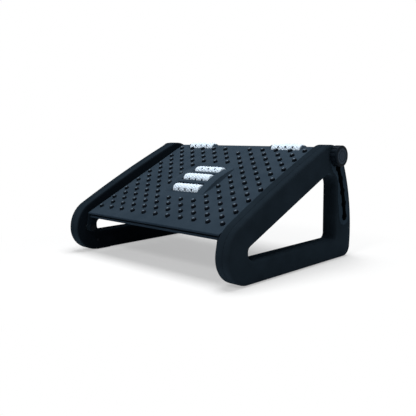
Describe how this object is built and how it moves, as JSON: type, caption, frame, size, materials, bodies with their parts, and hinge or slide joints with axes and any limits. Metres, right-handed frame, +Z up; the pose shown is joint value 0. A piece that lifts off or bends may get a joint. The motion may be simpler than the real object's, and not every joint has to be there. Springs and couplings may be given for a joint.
{
  "type": "under-desk footrest",
  "caption": "Tilting under-desk footrest: a domed tread board with massage rollers turns between two open side frames and is clamped in a slot by knobs.",
  "frame": {"origin": "on the floor under the middle of the footrest's bounding box, halfway between the two side frames", "axes": "+X to the user's right, +Y away from the user towards the raised rear edge, +Z up"},
  "size_m": [0.4808, 0.349, 0.2167],
  "materials": {
    "frame": "near-black moulded plastic, fine satin texture",
    "tread": "dark slate blue-grey moulded plastic, satin",
    "roller": "pale cool grey moulded plastic with fine nubs",
    "knob": "near-black moulded plastic, ribbed",
    "cap": "dark slate moulded plastic, satin",
    "foot": "matte black rubber",
    "bush": "natural nylon",
    "steel": "zinc plated",
    "brass": "turned brass"
  },
  "bodies": {
    "base": {"left_outer_shell": "frame", "left_inner_shell": "frame", "left_pivot_bush": "bush", "left_front_foot": "foot", "left_rear_foot": "foot", "left_shell_screw_1": "steel", "left_shell_screw_2": "steel", "left_shell_screw_3": "steel", "right_outer_shell": "frame", "right_inner_shell": "frame", "right_pivot_bush": "bush", "right_front_foot": "foot", "right_rear_foot": "foot", "right_shell_screw_1": "steel", "right_shell_screw_2": "steel", "right_shell_screw_3": "steel"},
    "platform": {"tread_board": "tread", "centre_axle_1": "steel", "centre_axle_2": "steel", "centre_axle_3": "steel", "centre_cradle": "tread", "centre_cradle_screw_1": "steel", "centre_cradle_screw_2": "steel", "centre_cradle_screw_3": "steel", "centre_cradle_screw_4": "steel", "left_pivot_pin": "steel", "left_pivot_clip": "steel", "left_clamp_stud": "steel", "left_slide_washer": "bush", "left_lock_washer": "steel", "left_rear_axle": "steel", "left_rear_cradle": "tread", "left_rear_cradle_screw_1": "steel", "left_rear_cradle_screw_2": "steel", "right_pivot_pin": "steel", "right_pivot_clip": "steel", "right_clamp_stud": "steel", "right_slide_washer": "bush", "right_lock_washer": "steel", "right_rear_axle": "steel", "right_rear_cradle": "tread", "right_rear_cradle_screw_1": "steel", "right_rear_cradle_screw_2": "steel"},
    "front_centre_roller": {"centre_roller_1": "roller"},
    "middle_centre_roller": {"centre_roller_2": "roller"},
    "back_centre_roller": {"centre_roller_3": "roller"},
    "left_rear_roller": {"left_rear_roller": "roller"},
    "right_rear_roller": {"right_rear_roller": "roller"},
    "left_knob": {"left_knob": "knob", "left_knob_nut": "brass", "left_knob_cap": "cap"},
    "right_knob": {"right_knob": "knob", "right_knob_nut": "brass", "right_knob_cap": "cap"}
  },
  "joints": [
    {"name": "platform_tilt", "type": "hinge", "parent": "base", "child": "platform", "pos_m": [0, -0.1477, 0.0515], "axis": [1, 0, 0], "range_deg": [-23.5, 0]},
    {"name": "front_centre_roller_turn", "type": "hinge", "parent": "platform", "child": "front_centre_roller", "pos_m": [0, -0.04487, 0.13231], "axis": [1, 0, 0], "continuous": true},
    {"name": "middle_centre_roller_turn", "type": "hinge", "parent": "platform", "child": "middle_centre_roller", "pos_m": [0, -0.01619, 0.14993], "axis": [1, 0, 0], "continuous": true},
    {"name": "back_centre_roller_turn", "type": "hinge", "parent": "platform", "child": "back_centre_roller", "pos_m": [0, 0.0154, 0.16157], "axis": [1, 0, 0], "continuous": true},
    {"name": "left_rear_roller_turn", "type": "hinge", "parent": "platform", "child": "left_rear_roller", "pos_m": [-0.1175, 0.11322, 0.20554], "axis": [1, 0, 0], "continuous": true},
    {"name": "right_rear_roller_turn", "type": "hinge", "parent": "platform", "child": "right_rear_roller", "pos_m": [0.1175, 0.11322, 0.20554], "axis": [1, 0, 0], "continuous": true},
    {"name": "left_knob_turn", "type": "hinge", "parent": "platform", "child": "left_knob", "pos_m": [-0.2325, 0.11275, 0.1962], "axis": [1, 0, 0], "continuous": true},
    {"name": "right_knob_turn", "type": "hinge", "parent": "platform", "child": "right_knob", "pos_m": [0.2325, 0.11275, 0.1962], "axis": [1, 0, 0], "continuous": true}
  ]
}
